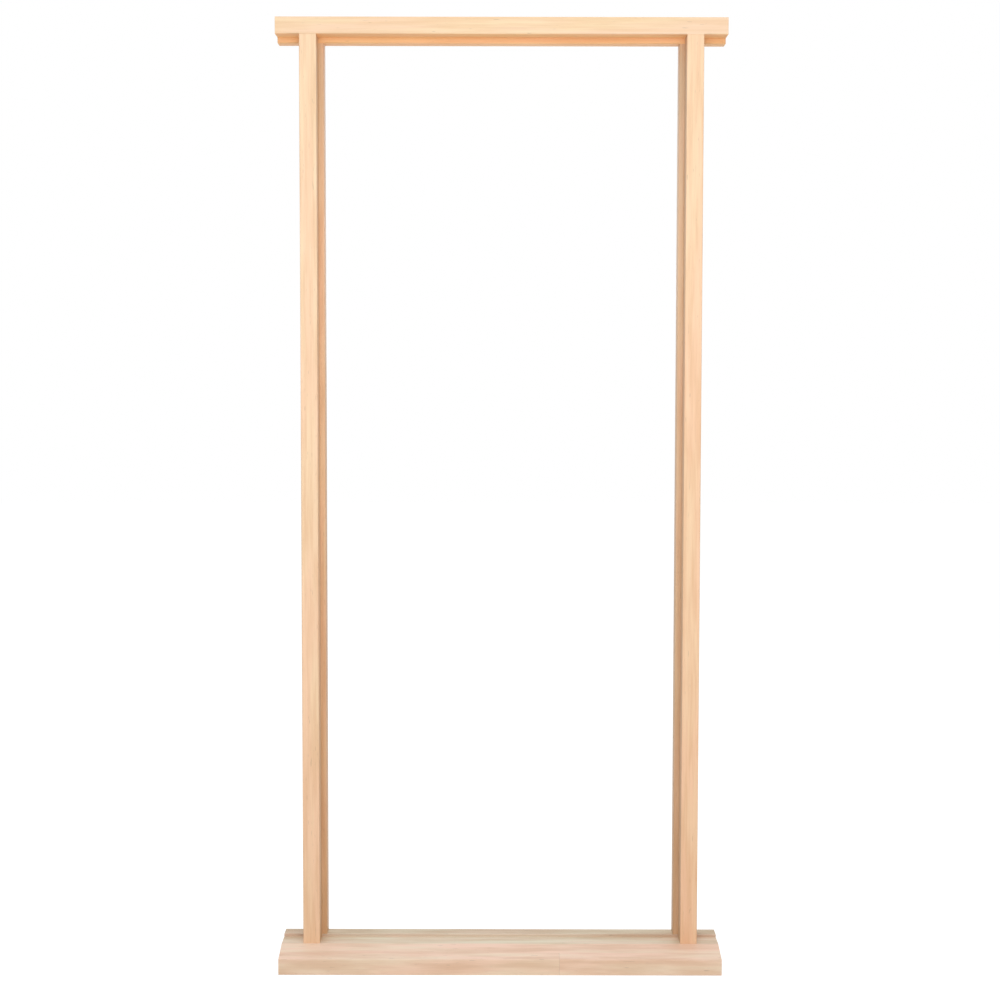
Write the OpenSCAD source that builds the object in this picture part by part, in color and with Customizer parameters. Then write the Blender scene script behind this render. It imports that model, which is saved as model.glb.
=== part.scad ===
// Outward opening external door frame in planed softwood, in millimetres.
// Two rebated jambs stand between a rebated head and a weathered sill, on wedged through tenons.
// +Z is up and -Y is the outside, where the sill's nose stands forward and the door leaf swings.
// The origin is on the ground under the middle of the sill.

/* [Door leaf] */
// Width of the door leaf that hangs in the rebate
door_w = 813; // [610:1:1000]
// Height of the door leaf
door_h = 2032; // [1800:1:2400]
// Thickness of the door leaf
door_t = 44; // [35:1:54]
// Gap between each side of the leaf and its jamb
side_gap = 2.5; // [1:0.5:6]
// Gap between the top of the leaf and the head
top_gap = 3; // [1:0.5:8]
// Gap between the foot of the leaf and the sill
foot_gap = 6; // [2:0.5:15]
// Gap between the inner face of the leaf and the stops
stop_gap = 1; // [0:0.5:4]

/* [Jambs and head] */
// Thickness of the section, measured over its stop
frame_t = 50; // [46:1:75]
// Depth of the section from the outside face to the inside face
frame_d = 80; // [72:1:140]
// How far the stop stands in past the rebate
stop_w = 12; // [8:1:18]
// Length of each horn of the head past the jamb
head_horn = 53; // [25:1:120]
// Radius of the sanded arrises
arris_r = 2; // [0.5:0.5:4]

/* [Sill] */
// Thickness of the sill under the stops
sill_t = 57; // [48:1:80]
// Height of the step that runs under the stops
sill_step = 6; // [3:1:12]
// Fall of the weathering from the jambs to the nose
sill_fall = 15; // [5:1:20]
// Projection of the sill in front of the jambs
sill_nose = 60; // [35:1:110]
// Length of each horn of the sill past the jamb
sill_horn = 49; // [25:1:120]
// Radius of the nose's upper arris
nose_r = 3; // [1:0.5:6]
// Radius of the half-round drip groove under the nose
drip_r = 4; // [2:0.5:6]
// Distance from the front of the nose to the middle of the drip groove
drip_set = 16; // [10:1:25]

/* [Joints] */
// Thickness of the through tenons
tenon_t = 20; // [14:1:28]
// Width of the shoulder at each edge of a tenon
edge_shoulder = 3; // [2:0.5:8]
// Clearance beside a tenon in its mortice
fit_gap = 0.2; // [0.1:0.05:0.5]
// Length of straight mortice before the flare for the wedges
mortice_land = 3; // [2:0.5:8]
// Thickness of each wedge at its driven end
wedge_t = 6; // [4:0.5:9]
// Thickness of each wedge at its tip
wedge_tip = 1.5; // [1:0.5:2.5]
// How far tenons and wedges are trimmed below the outer face
trim = 0.5; // [0.2:0.1:1.5]

/* [Hidden] */
$fn = 48;
over = 1; // how far a cut runs past the wood

// Wood colours
pale_wood = [0.98, 0.85, 0.69];
jamb_wood = [0.95, 0.80, 0.63];
sill_wood = [0.88, 0.76, 0.65];
wedge_wood = [0.80, 0.62, 0.44];

// Places across the frame, from its middle outwards
rebate_x = door_w / 2 + side_gap;
stop_x = rebate_x - stop_w;
leg_t = frame_t - stop_w;
outer_x = rebate_x + leg_t;
tenon_in_x = rebate_x + edge_shoulder;
tenon_out_x = outer_x - edge_shoulder;
head_end_x = outer_x + head_horn;
sill_end_x = outer_x + sill_horn;

// Places through the frame, from the nose to the inside face
sill_d = sill_nose + frame_d;
nose_y = -sill_d / 2;
face_y = nose_y + sill_nose;
back_y = face_y + frame_d;
stop_y = face_y + door_t + stop_gap;
tenon_y = stop_y - tenon_t;

// Heights
seat_z = sill_t - sill_step;
nose_z = seat_z - sill_fall;
soffit_z = seat_z + foot_gap + door_h + top_gap;
stop_z = soffit_z - stop_w;
top_z = soffit_z + leg_t;

// Angle of the weathering, measured up from level
weather_a = atan(sill_fall / sill_nose);

function unit(a) = [cos(a), sin(a)];

// Everything that is drawn in Y and Z and runs along the frame's width
module along(x0, x1) {
    translate([x0, 0, 0])
        rotate([90, 0, 90])
            linear_extrude(x1 - x0)
                children();
}

// Everything that is drawn in X and Z and runs through the frame's depth
module through(y0, y1) {
    translate([0, y1, 0])
        rotate([90, 0, 0])
            linear_extrude(y1 - y0)
                children();
}

// Waste beyond a rounded arris at corner v. The wood lies between directions a and b,
// counted anticlockwise from a.
module arris(v, a, b, r) {
    half = (b - a) / 2;
    reach = r / tan(half);
    middle = v + unit(a + half) * r / sin(half);
    difference() {
        polygon([
            v + unit(a) * reach + unit(a - 90) * over,
            middle,
            v + unit(b) * reach + unit(b + 90) * over,
            v - unit(a + half) * over / sin(half)
        ]);
        translate(middle)
            circle(r);
    }
}

// Clear lengths of a rail that has jambs against it: the middle, then each horn
module clear_lengths(inner_x, end_x) {
    along(-inner_x, inner_x) children();
    along(outer_x, end_x + over) children();
    along(-end_x - over, -outer_x) children();
}

// Both jambs' copies of something that is drawn for the right-hand jamb
module both_sides() {
    children();
    mirror([1, 0, 0]) children();
}

// Length of the flare in a rail of thickness t, and of the wedge that fills it to its tip
function flare_len(t) = t - mortice_land;
function wedge_len(t) = flare_len(t) * (wedge_t - wedge_tip) / (wedge_t - fit_gap);

// Mortice outline in X and depth below the outer face, straight and then flared for wedges
module mortice_outline(t) {
    outer = wedge_t + over * (wedge_t - fit_gap) / flare_len(t);
    polygon([
        [tenon_in_x - outer, -over],
        [tenon_in_x - fit_gap, flare_len(t)],
        [tenon_in_x - fit_gap, t + over],
        [tenon_out_x + fit_gap, t + over],
        [tenon_out_x + fit_gap, flare_len(t)],
        [tenon_out_x + outer, -over]
    ]);
}

// Wedge outline at the tenon's outer edge, trimmed below the outer face
module wedge_outline(t) {
    slope = (wedge_t - fit_gap) / flare_len(t);
    polygon([
        [0, trim],
        [wedge_t - slope * trim, trim],
        [wedge_t - slope * wedge_len(t), wedge_len(t)],
        [0, wedge_len(t)]
    ]);
}

// Depth below the head's top turned into height
module from_top() {
    translate([0, top_z])
        mirror([0, 1])
            children();
}

module head_profile() {
    polygon([
        [face_y, soffit_z],
        [stop_y, soffit_z],
        [stop_y, stop_z],
        [back_y, stop_z],
        [back_y, top_z],
        [face_y, top_z]
    ]);
}

// Rebated head with square-ended horns, morticed for both jambs
module head() {
    color(pale_wood)
    difference() {
        along(-head_end_x, head_end_x) head_profile();
        both_sides()
            through(tenon_y - fit_gap, stop_y)
                from_top() mortice_outline(leg_t);
        along(-head_end_x - over, head_end_x + over) {
            arris([face_y, top_z], -90, 0, arris_r);
            arris([back_y, top_z], 180, 270, arris_r);
        }
        clear_lengths(rebate_x, head_end_x)
            arris([face_y, soffit_z], 0, 90, arris_r);
        clear_lengths(stop_x, head_end_x) {
            arris([stop_y, stop_z], 0, 90, arris_r);
            arris([back_y, stop_z], 90, 180, arris_r);
        }
    }
}

module sill_profile() {
    polygon([
        [nose_y, 0],
        [back_y, 0],
        [back_y, sill_t],
        [stop_y, sill_t],
        [stop_y, seat_z],
        [face_y, seat_z],
        [nose_y, nose_z]
    ]);
}

// Weathered sill with a step under the stops, a drip groove and two mortices
module sill() {
    color(sill_wood)
    difference() {
        along(-sill_end_x, sill_end_x) sill_profile();
        both_sides()
            through(tenon_y - fit_gap, stop_y)
                mortice_outline(seat_z);
        along(-sill_end_x - over, sill_end_x + over) {
            translate([nose_y + drip_set, 0]) circle(drip_r);
            arris([nose_y, nose_z], -90, weather_a, nose_r);
            arris([nose_y, 0], 0, 90, arris_r);
            arris([back_y, 0], 90, 180, arris_r);
        }
        clear_lengths(stop_x, sill_end_x) {
            arris([stop_y, sill_t], -90, 0, arris_r);
            arris([back_y, sill_t], 180, 270, arris_r);
        }
    }
}

module jamb_profile() {
    polygon([
        [rebate_x, face_y],
        [outer_x, face_y],
        [outer_x, back_y],
        [stop_x, back_y],
        [stop_x, stop_y],
        [rebate_x, stop_y]
    ]);
}

// Waste around a tenon, in front of the stop, from height z0 to z1
module tenon_waste(z0, z1) {
    translate([0, 0, z0])
        linear_extrude(z1 - z0)
            difference() {
                translate([stop_x - over, face_y - over])
                    square([frame_t + 2 * over, stop_y - face_y + over]);
                translate([tenon_in_x, tenon_y])
                    square([tenon_out_x - tenon_in_x, tenon_t + over]);
            }
}

// Waste behind a tenon, where the jamb meets the stop of the head or the step of the sill
module stop_waste(z0, z1) {
    translate([stop_x - over, stop_y, z0])
        cube([frame_t + 2 * over, back_y - stop_y + over, z1 - z0]);
}

// Jamb on the right-hand side, with stepped shoulders and a through tenon at each end
module jamb() {
    color(jamb_wood)
    difference() {
        translate([0, 0, trim])
            linear_extrude(top_z - 2 * trim)
                jamb_profile();
        tenon_waste(soffit_z, top_z + over);
        stop_waste(stop_z, top_z + over);
        tenon_waste(-over, seat_z);
        stop_waste(-over, sill_t);
        linear_extrude(top_z) {
            arris([rebate_x, face_y], 0, 90, arris_r);
            arris([outer_x, face_y], 90, 180, arris_r);
            arris([outer_x, back_y], 180, 270, arris_r);
            arris([stop_x, back_y], -90, 0, arris_r);
            arris([stop_x, stop_y], 0, 90, arris_r);
        }
    }
}

module left_jamb() {
    mirror([1, 0, 0]) jamb();
}

module right_jamb() {
    jamb();
}

// Wedge beside a right-hand tenon, on its outer edge or on the edge towards the opening
module wedge_piece(inner) {
    color(wedge_wood)
        through(tenon_y, stop_y)
            translate([inner ? tenon_in_x : tenon_out_x, 0])
                mirror([inner ? 1 : 0, 0])
                    children();
}

module head_wedge(inner) {
    translate([0, 0, top_z])
        mirror([0, 0, 1])
            wedge_piece(inner) wedge_outline(leg_t);
}

module sill_wedge(inner) {
    wedge_piece(inner) wedge_outline(seat_z);
}

head();
sill();
left_jamb();
right_jamb();
mirror([1, 0, 0]) head_wedge(false);  // head_wedge_left_outer
mirror([1, 0, 0]) head_wedge(true);  // head_wedge_left_inner
head_wedge(true);  // head_wedge_right_inner
head_wedge(false);  // head_wedge_right_outer
mirror([1, 0, 0]) sill_wedge(false);  // sill_wedge_left_outer
mirror([1, 0, 0]) sill_wedge(true);  // sill_wedge_left_inner
sill_wedge(true);  // sill_wedge_right_inner
sill_wedge(false);  // sill_wedge_right_outer
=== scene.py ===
"""Looks of a planed softwood door frame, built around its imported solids. Run as a script in Blender 4.5."""

import math

import bmesh
import bpy
from bpy.props import FloatProperty, FloatVectorProperty, PointerProperty
from mathutils import Euler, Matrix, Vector


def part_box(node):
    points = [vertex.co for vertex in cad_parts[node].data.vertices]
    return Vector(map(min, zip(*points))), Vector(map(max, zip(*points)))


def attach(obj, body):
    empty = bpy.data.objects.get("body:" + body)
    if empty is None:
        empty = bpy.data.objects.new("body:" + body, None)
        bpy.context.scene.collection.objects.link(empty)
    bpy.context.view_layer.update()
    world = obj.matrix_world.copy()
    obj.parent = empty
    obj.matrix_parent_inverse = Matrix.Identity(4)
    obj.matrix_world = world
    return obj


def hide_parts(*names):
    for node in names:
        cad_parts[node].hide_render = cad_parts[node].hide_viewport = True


bl_info = {
    "name": "Softwood Door Frame",
    "version": (1, 0, 0),
    "blender": (4, 5, 0),
    "location": "View3D > Sidebar > Door Frame",
    "description": "Planed timber pieces, a pale stage and a camera for an external door frame",
    "category": "Object",
}

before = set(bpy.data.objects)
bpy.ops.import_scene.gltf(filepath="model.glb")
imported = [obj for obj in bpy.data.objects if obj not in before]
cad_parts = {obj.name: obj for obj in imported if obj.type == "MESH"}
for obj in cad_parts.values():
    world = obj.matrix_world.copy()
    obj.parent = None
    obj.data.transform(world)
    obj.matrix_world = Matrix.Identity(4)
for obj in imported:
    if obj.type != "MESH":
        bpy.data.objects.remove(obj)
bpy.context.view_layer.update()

MM = 0.001
ALONG_X = "X"
ALONG_Z = "Z"
WHITE = (1.0, 1.0, 1.0, 1.0)
UNTINTED = (1.0, 1.0, 1.0)
SENSOR_WIDTH = 36.0
TIMBER_IOR = 1.5

# Sockets of a Mix node that mixes two colours
SHARE, COLOUR_A, COLOUR_B, MIXED = 0, 6, 7, 2

# Places of the materials on a dressed piece: two that each piece has, then the head's and jambs', then the sill's;
# the extra ones are copies of the planed wood with painted light and shade
PLANED, SAWN = 0, 1
REBATE, SOFFIT = 2, 3
RISER, FLATS, SLOPE, BACK = 2, 3, 4, 5

# The share of a face's normal that points some way where the face counts as looking that way
SLIGHTLY, PARTLY, HALF, MOSTLY = 0.05, 0.3, 0.5, 0.7

# Two heights in metres between which painted shade grows on a jamb, and a power that delays the change
SHADE_PAINTED_TO_FOOT = (1.9, 0.1, 1.6)
SHADE_PAINTED_TO_HEAD = (1.65, 1.95, 1.0)


def srgb(code):
    """Turns an sRGB hex colour into Blender's linear values."""
    channels = [int(code[i : i + 2], 16) / 255 for i in (1, 3, 5)]
    return tuple(c / 12.92 if c <= 0.04045 else ((c + 0.055) / 1.055) ** 2.4 for c in channels)


def length(name, description, default_mm):
    """A size that is stored in metres and written here in millimetres."""
    return FloatProperty(
        name=name, description=description, default=default_mm * MM, min=0.0, unit="LENGTH", precision=5
    )


def angle(name, description, degrees):
    return FloatProperty(name=name, description=description, default=math.radians(degrees), subtype="ANGLE")


def power(name, description, watts):
    return FloatProperty(name=name, description=description, default=watts, min=0.0, unit="POWER")


def colour(name, description, code):
    return FloatVectorProperty(
        name=name, description=description, default=srgb(code), min=0.0, max=1.0, size=3, subtype="COLOR"
    )


def tone(name, description, levels):
    """Factors for red, green and blue, by which a part of a board differs from the rest of it: the right jamb's own
    colour, and elsewhere painted light and shade.
    """
    return FloatVectorProperty(name=name, description=description, default=levels, min=0.0, max=2.0, size=3)


class DoorFrameTimber(bpy.types.PropertyGroup):
    """Sizes and colours of the wood."""

    edge_break: length("Edge Break", "Width of the sanded break along each cut edge", 0.35)
    wedge_break: length("Wedge Break", "Width of the break along the edges of a wedge", 0.2)
    ring_spacing: length("Ring Spacing", "Distance from one growth ring to the next", 3.6)
    streak_width: length("Streak Width", "Width of the soft streaks that run with the grain", 11.0)
    sill_streak_width: length("Sill Streak Width", "Width of the streaks in the sill, sawn across its rings", 20.0)
    streak_length: length("Streak Length", "Length of the soft streaks", 190.0)
    patch_width: length("Patch Width", "Width of the pinker and yellower patches", 26.0)
    patch_length: length("Patch Length", "Length of the pinker and yellower patches", 280.0)
    fleck_width: length("Fleck Width", "Width of the rare brown flecks", 2.6)
    fleck_length: length("Fleck Length", "Length of the rare brown flecks", 26.0)
    fibre_width: length("Fibre Width", "Width of the fine fibre lines", 0.7)
    fibre_length: length("Fibre Length", "Length of the fine fibre lines", 55.0)
    ripple_pitch: length("Planer Ripple", "Distance between the knife marks of the planer", 2.4)
    pore_width: length("Pore Width", "Width of the open pores on a cut end", 0.55)
    saw_pitch: length("Saw Pitch", "Distance between the saw marks on a cut end", 1.6)
    joint_line: length("Joint Line", "Half the width of the line at the end joint in the sill's front strip", 0.35)
    roughness: FloatProperty(
        name="Roughness", description="Roughness of a planed face", default=0.52, min=0.0, max=1.0, subtype="FACTOR"
    )
    head_early: colour("Head Early Wood", "Pale wood of the head", "#EFD5AF")
    head_late: colour("Head Late Wood", "Darker bands of the head", "#E3BE92")
    head_blush: colour("Head Blush", "Pink patches of the head", "#EFCEAF")
    jamb_early: colour("Jamb Early Wood", "Pale wood of the jambs", "#F2D5B0")
    jamb_late: colour("Jamb Late Wood", "Darker bands of the jambs", "#E1B88F")
    jamb_blush: colour("Jamb Blush", "Pink patches of the jambs", "#F4D0AE")
    sill_early: colour("Sill Early Wood", "Pale wood of the sill", "#E9D2B8")
    sill_late: colour("Sill Late Wood", "Darker bands of the sill", "#D1AB8A")
    sill_blush: colour("Sill Blush", "Pink patches of the sill", "#ECCBB3")
    wedge_early: colour("Wedge Early Wood", "Pale wood of the wedges", "#D8B084")
    wedge_late: colour("Wedge Late Wood", "Darker bands of the wedges", "#B98657")
    end_early: colour("End Grain Early Wood", "Early wood on a sawn end", "#D9B288")
    end_late: colour("End Grain Late Wood", "Late wood on a sawn end", "#B98A5E")
    # Painted shade inside the head's rebate, orange like light bounced in a recess
    head_rebate_painted_shade: tone("Head Rebate Painted Shade", "Painted shade inside the head's rebate, deep and orange like light bounced there", (0.96, 0.75, 0.54))
    # Painted bounce light on the head's soffits
    head_soffit_painted_light: tone("Head Soffit Painted Light", "Painted bounce light on the head's soffits, lighter and more orange", (1.2, 0.95, 0.69))
    right_jamb_tone: tone("Right Jamb Tone", "Pinker colour of the right jamb", (1.0, 0.96, 0.94))
    # Painted shade in the jambs' rebates
    left_rebate_painted_shade: tone("Left Rebate Painted Shade", "Painted shade in the left jamb's rebate", (0.91, 0.81, 0.74))
    right_rebate_painted_shade: tone("Right Rebate Painted Shade", "Painted shade in the right jamb's rebate", (0.83, 0.77, 0.745))
    # Painted shade towards the jambs' feet, on their faces and in their rebates
    jamb_foot_painted_shade: tone("Jamb Foot Painted Shade", "Painted shade, darker and redder towards the jambs' feet", (0.94, 0.87, 0.85))
    rebate_foot_painted_shade: tone("Rebate Foot Painted Shade", "Painted shade, darker in the rebates at their feet", (0.83, 0.81, 0.74))
    # Painted shade in the rebates below the head
    rebate_top_painted_shade: tone("Rebate Top Painted Shade", "Painted shade, darker in the rebates below the head", (0.9, 0.92, 0.92))
    # Painted shade on the sill's riser
    sill_riser_painted_shade: tone("Sill Riser Painted Shade", "Painted shade on the small step in the sill", (0.82, 0.83, 0.85))
    # Painted sheen and light on the sill's level faces before the step
    sill_flats_painted_sheen: tone("Sill Flats Painted Sheen", "Painted sheen and light, greyer and paler on the level faces before the step", (0.94, 1.06, 1.08))
    # Painted light on the sill's slope
    sill_slope_painted_light: tone("Sill Slope Painted Light", "Painted light, paler on the sill's weathered slope", (1.06, 1.07, 1.12))
    # Painted shade on the sill's level face behind the step
    sill_back_painted_shade: tone("Sill Back Painted Shade", "Painted shade, darker and greyer on the level face behind the step", (0.79, 0.84, 0.80))


class DoorFrameStage(bpy.types.PropertyGroup):
    """Floor, light and camera."""

    floor_size: length("Floor Size", "Length of each side of the floor", 24000.0)
    floor_colour: colour("Floor Colour", "Colour that the floor throws back", "#E8E6E3")
    key_power: power("Key Power", "Power of the large soft lamp in front", 51.0)
    key_height: length("Key Height", "Height of the large soft lamp", 1850.0)
    key_distance: length("Key Distance", "Distance of the large soft lamp in front of the frame", 2800.0)
    overhead_power: power("Overhead Power", "Power of the soft lamp over the frame", 32.0)
    overhead_height: length("Overhead Height", "Height of the soft lamp over the frame", 4600.0)
    rear_power: power("Rear Power", "Power of the soft lamp behind the frame", 16.0)
    rear_distance: length("Rear Distance", "Distance of the soft lamp behind the frame", 3200.0)
    fill_strength: FloatProperty(
        name="Fill Strength", description="Strength of the even light from all around", default=0.5, min=0.0
    )
    camera_distance: length("Camera Distance", "Distance of the camera in front of the jambs", 3681.4)
    camera_height: length("Camera Height", "Height of the camera over the ground", 1378.7)
    camera_aside: length("Camera Aside", "Distance of the camera to the left of the frame's middle", 2.4)
    camera_tilt: angle("Camera Tilt", "How far the camera looks down", 3.18)
    camera_roll: angle("Camera Roll", "How far the camera leans to its left", 0.1)
    camera_focal: FloatProperty(
        name="Focal Length", description="Focal length on a sensor 36 mm wide, in millimetres", default=59.41, min=1.0
    )
    camera_shift: FloatProperty(
        name="Vertical Shift", description="Shift of the picture, as a share of its width", default=-0.05
    )


def add(tree, kind, inputs=None, **settings):
    """Adds a node, with its settings, its input values and the links into it."""
    node = tree.nodes.new(kind)
    for name, value in settings.items():
        setattr(node, name, value)
    for socket, value in (inputs or {}).items():
        if isinstance(value, bpy.types.NodeSocket):
            tree.links.new(value, node.inputs[socket])
        else:
            node.inputs[socket].default_value = value
    return node


def opaque(rgb):
    return (*rgb, 1.0)


def start_material(name):
    material = bpy.data.materials.new(name)
    material.use_nodes = True
    return material, material.node_tree, material.node_tree.nodes["Principled BSDF"]


def noise(tree, place, along, across, detail=2.0, rough=0.5):
    """Soft noise whose features are so many millimetres long and wide."""
    stretch = (1 / along, 1 / across, 1 / across)
    scaled = add(tree, "ShaderNodeVectorMath", {0: place, 1: stretch}, operation="MULTIPLY")
    return add(tree, "ShaderNodeTexNoise", {
        "Vector": scaled.outputs["Vector"],
        "Scale": 1.0,
        "Detail": detail,
        "Roughness": rough,
    })


def grain_space(tree, wood, grain, pith, strip=None):
    """Coordinates in millimetres with the grain along X and the tree's pith on the X axis.

    A strip is a separate length of wood glued to the front: its back edge in Y and the place of its
    end joint in X. Its grain comes from elsewhere in the tree. Returns the straight coordinates, those
    that follow the rings, and 1 on the line of the end joint, or None where there is no strip.
    """
    coordinate = add(tree, "ShaderNodeTexCoord")
    turn = Euler((0.0, math.radians(90), 0.0)) if grain == ALONG_Z else Euler((0.0, 0.0, 0.0))
    origin = turn.to_matrix() @ Vector(pith)
    mapping = add(tree, "ShaderNodeMapping", {
        "Vector": coordinate.outputs["Object"],
        "Location": -origin / MM,
        "Rotation": turn,
        "Scale": (1 / MM, 1 / MM, 1 / MM),
    })
    straight = mapping.outputs["Vector"]
    joint = None
    if strip:
        back_edge, end_joint = strip
        elsewhere = (640.0, 17.0, 9.0)
        parts = add(tree, "ShaderNodeSeparateXYZ", {"Vector": coordinate.outputs["Object"]})
        x, y = parts.outputs["X"], parts.outputs["Y"]
        in_strip = add(tree, "ShaderNodeMath", {0: y, 1: back_edge}, operation="LESS_THAN").outputs[0]
        past_joint = add(tree, "ShaderNodeMath", {0: x, 1: end_joint}, operation="GREATER_THAN").outputs[0]
        # The main board is 0, and the strip's two lengths are 1 and 2
        length_number = add(tree, "ShaderNodeMath", {0: past_joint, 1: 1.0, 2: 1.0}, operation="MULTIPLY_ADD")
        board = add(tree, "ShaderNodeMath", {0: length_number.outputs[0], 1: in_strip}, operation="MULTIPLY")
        moved = add(tree, "ShaderNodeVectorMath", {0: elsewhere, "Scale": board.outputs[0]}, operation="SCALE")
        placed = add(tree, "ShaderNodeVectorMath", {0: straight, 1: moved.outputs["Vector"]}, operation="ADD")
        straight = placed.outputs["Vector"]
        beside = add(tree, "ShaderNodeMath", {0: x, 1: end_joint, 2: wood.joint_line}, operation="COMPARE")
        joint = add(tree, "ShaderNodeMath", {0: beside.outputs[0], 1: in_strip}, operation="MULTIPLY").outputs[0]
    # The stem isn't straight, so the rings drift by some millimetres over half a metre
    drift = noise(tree, straight, along=900.0, across=110.0, rough=0.55)
    most_drift = (0.0, 22.0, 22.0)
    centre = (-0.5, -0.5, -0.5)
    offset = add(tree, "ShaderNodeVectorMath", {0: drift.outputs["Color"], 1: centre}, operation="ADD")
    sway = add(tree, "ShaderNodeVectorMath", {
        0: offset.outputs["Vector"],
        1: most_drift,
        2: straight,
    }, operation="MULTIPLY_ADD")
    return straight, sway.outputs["Vector"], joint


def growth_rings(tree, sway, spacing):
    """Saw-toothed rings around the pith: pale early wood that darkens slowly, then stops at a line."""
    most_wobble, late_wood_sharpness = 3.2, 2.2
    across = add(tree, "ShaderNodeVectorMath", {0: sway, 1: (0.0, 1.0, 1.0)}, operation="MULTIPLY")
    radius = add(tree, "ShaderNodeVectorMath", {0: across.outputs["Vector"]}, operation="LENGTH")
    wobble = noise(tree, sway, along=140.0, across=14.0)
    uneven = add(tree, "ShaderNodeMath", {
        0: wobble.outputs["Fac"],
        1: most_wobble,
        2: radius.outputs["Value"],
    }, operation="MULTIPLY_ADD")
    count = add(tree, "ShaderNodeMath", {0: uneven.outputs[0], 1: spacing}, operation="DIVIDE")
    tooth = add(tree, "ShaderNodeMath", {0: count.outputs[0]}, operation="FRACT")
    dark = add(tree, "ShaderNodeMath", {0: tooth.outputs[0], 1: late_wood_sharpness}, operation="POWER")
    return dark.outputs[0]


def painted_shade_by_height(tree, wooden, tint, start, end, delay):
    """The wood with painted shade growing towards a tint from one height to another, in metres."""
    place = add(tree, "ShaderNodeTexCoord")
    height = add(tree, "ShaderNodeSeparateXYZ", {"Vector": place.outputs["Object"]})
    grown = add(tree, "ShaderNodeMapRange", {"Value": height.outputs["Z"], "From Min": start, "From Max": end})
    late = add(tree, "ShaderNodeMath", {0: grown.outputs["Result"], 1: delay}, operation="POWER")
    factor = add(tree, "ShaderNodeMix", {
        SHARE: late.outputs[0],
        COLOUR_A: WHITE,
        COLOUR_B: opaque(tint),
    }, data_type="RGBA")
    tinted = add(tree, "ShaderNodeVectorMath", {0: wooden, 1: factor.outputs[MIXED]}, operation="MULTIPLY")
    return tinted.outputs["Vector"]


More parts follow.
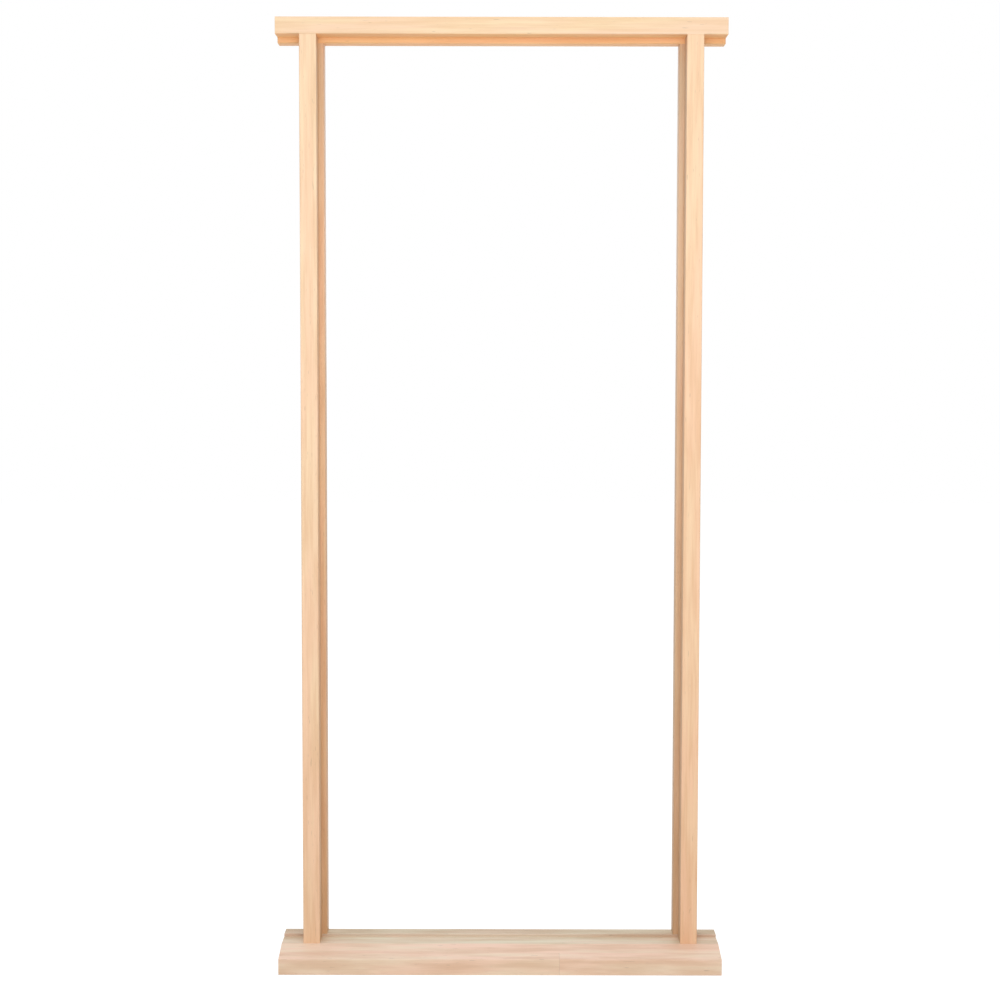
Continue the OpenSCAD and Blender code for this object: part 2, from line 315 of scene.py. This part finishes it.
def planed_hemlock(
    name, wood, grain, pith, shades, strip=None, tint=UNTINTED, foot=None, top=None, streak_width=None, ringed=0.15
):
    """Planed hemlock: pale, low in contrast, with straight fine fibres and a dull sheen.

    The eye sees soft streaks about a finger wide, pinker and yellower patches as long as a forearm,
    faint growth lines and a rare brown fleck, and close up the fibres and the planer's knife marks.
    """
    # A tint is the right jamb's own pinker colour, and on the other copies it is painted light and shade: shade in
    # the rebates and on the sill's riser and back, bounce light on the head's soffits, sheen and light on the sill's
    # flats, and light on its slope
    early, late, blush = ([channel * factor for channel, factor in zip(shade, tint)] for shade in shades)
    material, tree, shader = start_material(name)
    straight, sway, joint = grain_space(tree, wood, grain, pith, strip)
    rings = growth_rings(tree, sway, wood.ring_spacing / MM)
    streak_width = (streak_width or wood.streak_width) / MM
    # Streaks, patches and flecks are what still shows at the render's two millimetres to a pixel
    streaks = noise(tree, sway, along=wood.streak_length / MM, across=streak_width, detail=4.0, rough=0.55)
    patches = noise(tree, sway, along=wood.patch_length / MM, across=wood.patch_width / MM)
    flecks = noise(tree, sway, along=wood.fleck_length / MM, across=wood.fleck_width / MM, detail=1.0)
    fibres = noise(tree, straight, wood.fibre_length / MM, wood.fibre_width / MM, detail=3.0, rough=0.65)

    blushed = add(tree, "ShaderNodeMapRange", {
        "Value": patches.outputs["Fac"],
        "From Min": 0.36,
        "From Max": 0.64,
    }, interpolation_type="SMOOTHSTEP")
    ground = add(tree, "ShaderNodeMix", {
        SHARE: blushed.outputs["Result"],
        COLOUR_A: opaque(early),
        COLOUR_B: opaque(blush),
    }, data_type="RGBA")
    streaked = add(tree, "ShaderNodeMapRange", {
        "Value": streaks.outputs["Fac"],
        "From Min": 0.36,
        "From Max": 0.68,
        "To Max": 0.58,
    }, interpolation_type="SMOOTHSTEP")
    banded = add(tree, "ShaderNodeMath", {
        0: rings,
        1: ringed,
        2: streaked.outputs["Result"],
    }, operation="MULTIPLY_ADD", use_clamp=True)
    wooden = add(tree, "ShaderNodeMix", {
        SHARE: banded.outputs[0],
        COLOUR_A: ground.outputs[MIXED],
        COLOUR_B: opaque(late),
    }, data_type="RGBA")
    lines = add(tree, "ShaderNodeMapRange", {
        "Value": fibres.outputs["Fac"],
        "From Min": 0.3,
        "From Max": 0.7,
        "To Min": 0.95,
        "To Max": 1.03,
    })
    fleck = add(tree, "ShaderNodeMapRange", {
        "Value": flecks.outputs["Fac"],
        "From Min": 0.7,
        "From Max": 0.79,
        "To Min": 1.0,
        "To Max": 0.76,
    }, interpolation_type="SMOOTHSTEP")
    level = add(tree, "ShaderNodeMath", {
        0: lines.outputs["Result"],
        1: fleck.outputs["Result"],
    }, operation="MULTIPLY").outputs[0]
    if joint:
        # The line of the end joint is a fifth darker
        line = add(tree, "ShaderNodeMath", {0: joint, 1: -0.2, 2: 1.0}, operation="MULTIPLY_ADD")
        level = add(tree, "ShaderNodeMath", {0: level, 1: line.outputs[0]}, operation="MULTIPLY").outputs[0]
    scaled = add(tree, "ShaderNodeVectorMath", {0: wooden.outputs[MIXED], "Scale": level}, operation="SCALE")
    coloured = scaled.outputs["Vector"]
    # Painted shade, darker and redder towards a jamb's foot
    if foot:
        coloured = painted_shade_by_height(tree, coloured, foot, *SHADE_PAINTED_TO_FOOT)
    # Painted shade in a rebate below the head
    if top:
        coloured = painted_shade_by_height(tree, coloured, top, *SHADE_PAINTED_TO_HEAD)
    tree.links.new(coloured, shader.inputs["Base Color"])

    dull = add(tree, "ShaderNodeMapRange", {
        "Value": streaks.outputs["Fac"],
        "To Min": wood.roughness - 0.06,
        "To Max": wood.roughness + 0.08,
    })
    tree.links.new(dull.outputs["Result"], shader.inputs["Roughness"])
    shader.inputs["IOR"].default_value = TIMBER_IOR

    # Late wood stands up half as far as the fibres, and the knife marks an eighth as far
    turns_per_mm = math.tau / (wood.ripple_pitch / MM)
    place = add(tree, "ShaderNodeSeparateXYZ", {"Vector": straight})
    turns = add(tree, "ShaderNodeMath", {0: place.outputs["X"], 1: turns_per_mm}, operation="MULTIPLY")
    knife = add(tree, "ShaderNodeMath", {0: turns.outputs[0]}, operation="SINE")
    raised = add(tree, "ShaderNodeMath", {0: rings, 1: 0.5, 2: fibres.outputs["Fac"]}, operation="MULTIPLY_ADD")
    height = add(tree, "ShaderNodeMath", {
        0: knife.outputs[0],
        1: 0.12,
        2: raised.outputs[0],
    }, operation="MULTIPLY_ADD")
    bump = add(tree, "ShaderNodeBump", {"Height": height.outputs[0], "Strength": 0.6, "Distance": 0.05 * MM})
    tree.links.new(bump.outputs["Normal"], shader.inputs["Normal"])
    return material


def sawn_end_grain(name, wood, grain, pith, shades, strip=None):
    """Hemlock sawn across the grain: darker and dull, with ring arcs, open pores and fine saw marks."""
    early, late = shades
    material, tree, shader = start_material(name)
    straight, sway, _ = grain_space(tree, wood, grain, pith, strip)
    rings = growth_rings(tree, sway, wood.ring_spacing / MM)
    pores = noise(tree, straight, along=40.0, across=wood.pore_width / MM, rough=0.7)
    blotches = noise(tree, straight, along=200.0, across=22.0)
    arcs = add(tree, "ShaderNodeMath", {0: rings, 1: 0.7, 2: 0.12}, operation="MULTIPLY_ADD", use_clamp=True)
    ringed = add(tree, "ShaderNodeMix", {
        SHARE: arcs.outputs[0],
        COLOUR_A: opaque(early),
        COLOUR_B: opaque(late),
    }, data_type="RGBA")
    dots = add(tree, "ShaderNodeMapRange", {
        "Value": pores.outputs["Fac"],
        "From Min": 0.3,
        "From Max": 0.6,
        "To Min": 0.8,
        "To Max": 1.04,
    })
    soak = add(tree, "ShaderNodeMapRange", {
        "Value": blotches.outputs["Fac"],
        "From Min": 0.3,
        "From Max": 0.7,
        "To Min": 0.9,
        "To Max": 1.06,
    })
    level = add(tree, "ShaderNodeMath", {
        0: dots.outputs["Result"],
        1: soak.outputs["Result"],
    }, operation="MULTIPLY")
    coloured = add(tree, "ShaderNodeVectorMath", {
        0: ringed.outputs[MIXED],
        "Scale": level.outputs[0],
    }, operation="SCALE")
    tree.links.new(coloured.outputs["Vector"], shader.inputs["Base Color"])
    shader.inputs["Roughness"].default_value = 0.8
    shader.inputs["IOR"].default_value = TIMBER_IOR

    # A saw mark is about 45 mm long, and stands up more than the pores sink in
    mark_length = 45
    stretch = (0.0, 1 / mark_length, MM / wood.saw_pitch)
    marks = add(tree, "ShaderNodeVectorMath", {0: straight, 1: stretch}, operation="MULTIPLY")
    sawn = add(tree, "ShaderNodeTexNoise", {"Vector": marks.outputs["Vector"], "Scale": 1.0, "Detail": 1.0})
    height = add(tree, "ShaderNodeMath", {
        0: sawn.outputs["Fac"],
        1: 1.6,
        2: pores.outputs["Fac"],
    }, operation="MULTIPLY_ADD")
    bump = add(tree, "ShaderNodeBump", {"Height": height.outputs[0], "Strength": 0.8, "Distance": 0.12 * MM})
    tree.links.new(bump.outputs["Normal"], shader.inputs["Normal"])
    return material


def dressed_timber(node, grain, edge_break, materials, other_material=None):
    """Replaces a solid by a copy with its cut edges broken.

    The materials are the planed wood, the sawn ends and any others, which are copies of the planed wood with
    painted light and shade; other_material(face) gives the place of one of those, or None.
    """
    bm = bmesh.new()
    bm.from_mesh(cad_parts[node].data)
    bmesh.ops.remove_doubles(bm, verts=bm.verts, dist=0.001 * MM)
    bmesh.ops.dissolve_limit(bm, angle_limit=math.radians(0.5), verts=bm.verts, edges=bm.edges)
    # An arris that stops against a jamb ends in a face of about a square millimetre, which stays crisp
    tiny = {face for face in bm.faces if face.calc_area() < 1.5 * MM * MM}
    cut_edges = [
        edge
        for edge in bm.edges
        if edge.calc_face_angle(0.0) > math.radians(30) and not tiny.intersection(edge.link_faces)
    ]
    bmesh.ops.bevel(
        bm,
        geom=cut_edges,
        offset=edge_break,
        offset_type="OFFSET",
        segments=2,
        profile=0.5,
        affect="EDGES",
        material=-1,
    )
    bmesh.ops.recalc_face_normals(bm, faces=bm.faces)
    axis = Vector((1, 0, 0)) if grain == ALONG_X else Vector((0, 0, 1))
    # Narrow facets of an arris are shaded as one curve, and broad faces stay flat
    narrow = 1.2 * MM
    for face in bm.faces:
        other = other_material(face) if other_material else None
        face.material_index = SAWN if abs(face.normal.dot(axis)) > MOSTLY else other or PLANED
        face.smooth = face.calc_area() < max(edge.calc_length() for edge in face.edges) * narrow
    mesh = bpy.data.meshes.new(node + "_dressed")
    bm.to_mesh(mesh)
    bm.free()
    for material in materials:
        mesh.materials.append(material)
    piece = bpy.data.objects.new(node + "_dressed", mesh)
    bpy.context.scene.collection.objects.link(piece)
    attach(piece, "root")
    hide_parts(node)


def in_rebate(face):
    """The rebate, where a face of the head or a jamb looks into the opening or stands back from the front: the faces
    that get painted shade.
    """
    middle, normal = face.calc_center_median(), face.normal
    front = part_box("left_jamb")[0].y
    behind_arris, well_back = front + 1 * MM, front + 5 * MM
    towards_opening = normal.x * middle.x < 0 if abs(normal.x) > PARTLY else normal.z < -PARTLY
    stands_back = normal.y < -PARTLY and middle.y > well_back
    return REBATE if stands_back or (towards_opening and middle.y > behind_arris) else None


def in_head_rebate(face):
    """The soffits, where a face of the head looks down, or the rest of its rebate: painted bounce light on the
    soffits and painted shade in the rest.
    """
    return SOFFIT if face.normal.z < -MOSTLY else in_rebate(face)


def on_sill(face):
    """The riser of the sill's step, its level faces before and behind that, or its weathered slope: painted shade on
    the riser and the face behind the step, painted sheen and light on the faces before it, and painted light on the
    slope.
    """
    lowest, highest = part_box("sill")
    middle, normal = face.calc_center_median(), face.normal
    behind_nose, above_drip, below_step = lowest.y + 10 * MM, 20 * MM, highest.z - 2 * MM
    if normal.y < -HALF and middle.y > behind_nose and middle.z > above_drip:
        return RISER
    if normal.z > MOSTLY:
        level = BACK if middle.z > below_step else FLATS
        return SLOPE if normal.y < -SLIGHTLY else level
    return None


class DOORFRAME_OT_head(bpy.types.Operator):
    """Dress the head, with its rebate, its square horns and its sawn ends"""

    bl_idname = "doorframe.head"
    bl_label = "Head"

    def execute(self, context):
        wood = context.scene.doorframe_timber
        board = {"wood": wood, "grain": ALONG_X, "pith": (0.31, 0.115, 2.185)}
        planed = {**board, "shades": (wood.head_early, wood.head_late, wood.head_blush)}
        materials = (
            planed_hemlock("planed_hemlock_head", **planed),
            sawn_end_grain("sawn_hemlock_head_ends", **board, shades=(wood.end_early, wood.end_late)),
            # A copy of the planed wood with painted shade in the rebate
            planed_hemlock("planed_hemlock_head_rebate_painted_shade", **planed, tint=wood.head_rebate_painted_shade),
            # A copy of the planed wood with painted bounce light on the soffits
            planed_hemlock("planed_hemlock_head_soffit_painted_light", **planed, tint=wood.head_soffit_painted_light),
        )
        dressed_timber("head", ALONG_X, wood.edge_break, materials, in_head_rebate)
        return {"FINISHED"}


class DOORFRAME_OT_jambs(bpy.types.Operator):
    """Dress both jambs, each cut from its own length of timber"""

    bl_idname = "doorframe.jambs"
    bl_label = "Jambs"

    def execute(self, context):
        wood = context.scene.doorframe_timber
        shades = (wood.jamb_early, wood.jamb_late, wood.jamb_blush)
        for node, pith, face_tone, rebate_painted_shade in (
            ("left_jamb", (-0.52, 0.1, 0.37), UNTINTED, wood.left_rebate_painted_shade),
            ("right_jamb", (0.36, 0.14, 1.49), wood.right_jamb_tone, wood.right_rebate_painted_shade),
        ):
            board = {"wood": wood, "grain": ALONG_Z, "pith": pith}
            # The rebate's copy has painted shade: deeper all along, and darker at its foot and below the head
            rebate = {"tint": rebate_painted_shade, "foot": wood.rebate_foot_painted_shade, "top": wood.rebate_top_painted_shade}
            materials = (
                # The faces' copy has painted shade towards the foot
                planed_hemlock(
                    "planed_hemlock_" + node, **board, shades=shades, tint=face_tone, foot=wood.jamb_foot_painted_shade
                ),
                sawn_end_grain(
                    "sawn_hemlock_" + node + "_ends", **board, shades=(wood.end_early, wood.end_late)
                ),
                planed_hemlock("planed_hemlock_" + node + "_rebate", **board, shades=shades, **rebate),
            )
            dressed_timber(node, ALONG_Z, wood.edge_break, materials, in_rebate)
        return {"FINISHED"}


class DOORFRAME_OT_sill(bpy.types.Operator):
    """Dress the weathered sill, whose front strip has an end joint right of its middle"""

    bl_idname = "doorframe.sill"
    bl_label = "Sill"

    def execute(self, context):
        wood = context.scene.doorframe_timber
        strip = (-0.044, 0.133)
        board = {"wood": wood, "grain": ALONG_X, "pith": (0.77, 0.03, -0.14)}
        # Sawn more across its rings, so its streaks are broad and its growth lines faint
        planed = {
            **board,
            "shades": (wood.sill_early, wood.sill_late, wood.sill_blush),
            "streak_width": wood.sill_streak_width,
            "ringed": 0.06,
        }
        ends = (wood.end_early, wood.end_late)
        materials = (
            planed_hemlock("planed_hemlock_sill", **planed, strip=strip),
            sawn_end_grain("sawn_hemlock_sill_ends", **board, shades=ends, strip=strip),
            # A copy of the planed wood with painted shade on the riser
            planed_hemlock("planed_hemlock_sill_riser_painted_shade", **planed, tint=wood.sill_riser_painted_shade),
            # A copy of the planed wood with painted sheen and light on the flats
            planed_hemlock("planed_hemlock_sill_flats_painted_sheen", **planed, tint=wood.sill_flats_painted_sheen),
            # A copy of the planed wood with painted light on the slope
            planed_hemlock("planed_hemlock_sill_slope_painted_light", **planed, tint=wood.sill_slope_painted_light, strip=strip),
            # A copy of the planed wood with painted shade on the face behind the step
            planed_hemlock("planed_hemlock_sill_back_painted_shade", **planed, tint=wood.sill_back_painted_shade),
        )
        dressed_timber("sill", ALONG_X, wood.edge_break, materials, on_sill)
        return {"FINISHED"}


class DOORFRAME_OT_wedges(bpy.types.Operator):
    """Dress the eight wedges that spread the tenons"""

    bl_idname = "doorframe.wedges"
    bl_label = "Wedges"

    def execute(self, context):
        wood = context.scene.doorframe_timber
        early, late = wood.wedge_early, wood.wedge_late
        board = {"wood": wood, "grain": ALONG_Z, "pith": (0.09, 0.06, 0.0)}
        materials = (
            planed_hemlock("sawn_hemlock_wedge_sides", **board, shades=(early, late, early)),
            sawn_end_grain("sawn_hemlock_wedge_ends", **board, shades=(early, late)),
        )
        for node in sorted(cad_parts):
            if "wedge" in node:
                dressed_timber(node, ALONG_Z, wood.wedge_break, materials)
        return {"FINISHED"}


def shown_directly(tree):
    """1 for rays from the camera, a gloss or a glass, and 0 for the light that falls on the object."""
    path = add(tree, "ShaderNodeLightPath")
    seen = path.outputs["Is Camera Ray"]
    for ray in ("Is Glossy Ray", "Is Transmission Ray"):
        seen = add(tree, "ShaderNodeMath", {0: seen, 1: path.outputs[ray]}, operation="MAXIMUM").outputs[0]
    return seen


def matt_paper(stage):
    """Matt white paper, rolled out: it looks white to the camera and keeps the frame's soft shadow."""
    own_light, shaded_grey = 0.8, (0.42, 0.42, 0.42)
    material, tree, shader = start_material("matt_white_paper")
    shader.inputs["Base Color"].default_value = opaque(stage.floor_colour)
    shader.inputs["Roughness"].default_value = 0.9
    glow = add(tree, "ShaderNodeEmission", {"Color": WHITE, "Strength": own_light})
    shaded = add(tree, "ShaderNodeBsdfDiffuse", {"Color": opaque(shaded_grey)})
    both = add(tree, "ShaderNodeAddShader", {0: glow.outputs[0], 1: shaded.outputs[0]})
    mixed = add(tree, "ShaderNodeMixShader", {
        0: shown_directly(tree),
        1: shader.outputs[0],
        2: both.outputs[0],
    })
    tree.links.new(mixed.outputs[0], tree.nodes["Material Output"].inputs["Surface"])
    return material


def lay_floor(scene, stage):
    bm = bmesh.new()
    bmesh.ops.create_grid(bm, x_segments=1, y_segments=1, size=stage.floor_size / 2)
    mesh = bpy.data.meshes.new("floor")
    bm.to_mesh(mesh)
    bm.free()
    mesh.materials.append(matt_paper(stage))
    floor = bpy.data.objects.new("floor", mesh)
    scene.collection.objects.link(floor)


def light_stage(scene, stage):
    """Even light from all around, and three large soft lamps."""
    world = bpy.data.worlds.new("even_light")
    world.use_nodes = True
    scene.world = world
    tree = world.node_tree
    fill = add(tree, "ShaderNodeMix", {
        SHARE: shown_directly(tree),
        COLOUR_A: opaque([stage.fill_strength] * 3),
        COLOUR_B: WHITE,
    }, data_type="RGBA")
    tree.links.new(fill.outputs[MIXED], tree.nodes["Background"].inputs["Color"])

    # Name, power, place, the point that it is turned to, width and height
    key_place = (0.0, -stage.key_distance, stage.key_height)
    for name, watts, place, target, width, height in (
        ("key", stage.key_power, key_place, (0.0, 0.0, 1.5), 2.6, 1.6),
        ("overhead", stage.overhead_power, (0.0, -0.5, stage.overhead_height), (0.0, 0.0, 0.0), 2.4, 1.8),
        ("rear", stage.rear_power, (0.0, stage.rear_distance, 2.2), (0.0, 0.0, 1.0), 2.6, 1.6),
    ):
        lamp = bpy.data.lights.new(name, "AREA")
        lamp.shape = "RECTANGLE"
        lamp.size = width
        lamp.size_y = height
        lamp.energy = watts
        stand = bpy.data.objects.new(name, lamp)
        stand.location = place
        stand.rotation_euler = (Vector(target) - Vector(place)).to_track_quat("-Z", "Y").to_euler()
        stand.visible_camera = False
        scene.collection.objects.link(stand)


def set_camera(scene, stage):
    lens = bpy.data.cameras.new("camera")
    lens.lens = stage.camera_focal
    lens.sensor_width = SENSOR_WIDTH
    lens.shift_y = stage.camera_shift
    camera = bpy.data.objects.new("camera", lens)
    jamb_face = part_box("left_jamb")[0].y
    camera.location = (-stage.camera_aside, jamb_face - stage.camera_distance, stage.camera_height)
    camera.rotation_euler = (math.radians(90) - stage.camera_tilt, -stage.camera_roll, 0.0)
    scene.collection.objects.link(camera)
    scene.camera = camera


class DOORFRAME_OT_stage(bpy.types.Operator):
    """Build the pale floor, the soft light and the camera"""

    bl_idname = "doorframe.stage"
    bl_label = "Stage"

    def execute(self, context):
        scene, stage = context.scene, context.scene.doorframe_stage
        scene.view_settings.view_transform = "Standard"
        lay_floor(scene, stage)
        light_stage(scene, stage)
        set_camera(scene, stage)
        return {"FINISHED"}


class DOORFRAME_PT_sidebar(bpy.types.Panel):
    """Lists the steps that build the looks"""

    bl_label = "Door Frame"
    bl_idname = "DOORFRAME_PT_sidebar"
    bl_space_type = "VIEW_3D"
    bl_region_type = "UI"
    bl_category = "Door Frame"

    def draw(self, context):
        for step in STEPS:
            self.layout.operator(step.bl_idname)
        for settings in (context.scene.doorframe_timber, context.scene.doorframe_stage):
            column = self.layout.column()
            for name in settings.__annotations__:
                column.prop(settings, name)


STEPS = (DOORFRAME_OT_stage, DOORFRAME_OT_head, DOORFRAME_OT_jambs, DOORFRAME_OT_sill, DOORFRAME_OT_wedges)
CLASSES = (DoorFrameTimber, DoorFrameStage, *STEPS, DOORFRAME_PT_sidebar)


def register():
    for cls in CLASSES:
        bpy.utils.register_class(cls)
    bpy.types.Scene.doorframe_timber = PointerProperty(type=DoorFrameTimber)
    bpy.types.Scene.doorframe_stage = PointerProperty(type=DoorFrameStage)


def unregister():
    del bpy.types.Scene.doorframe_stage
    del bpy.types.Scene.doorframe_timber
    for cls in reversed(CLASSES):
        bpy.utils.unregister_class(cls)


def main():
    register()
    bpy.ops.doorframe.stage()
    bpy.ops.doorframe.head()
    bpy.ops.doorframe.jambs()
    bpy.ops.doorframe.sill()
    bpy.ops.doorframe.wedges()


if __name__ == "__main__":
    main()
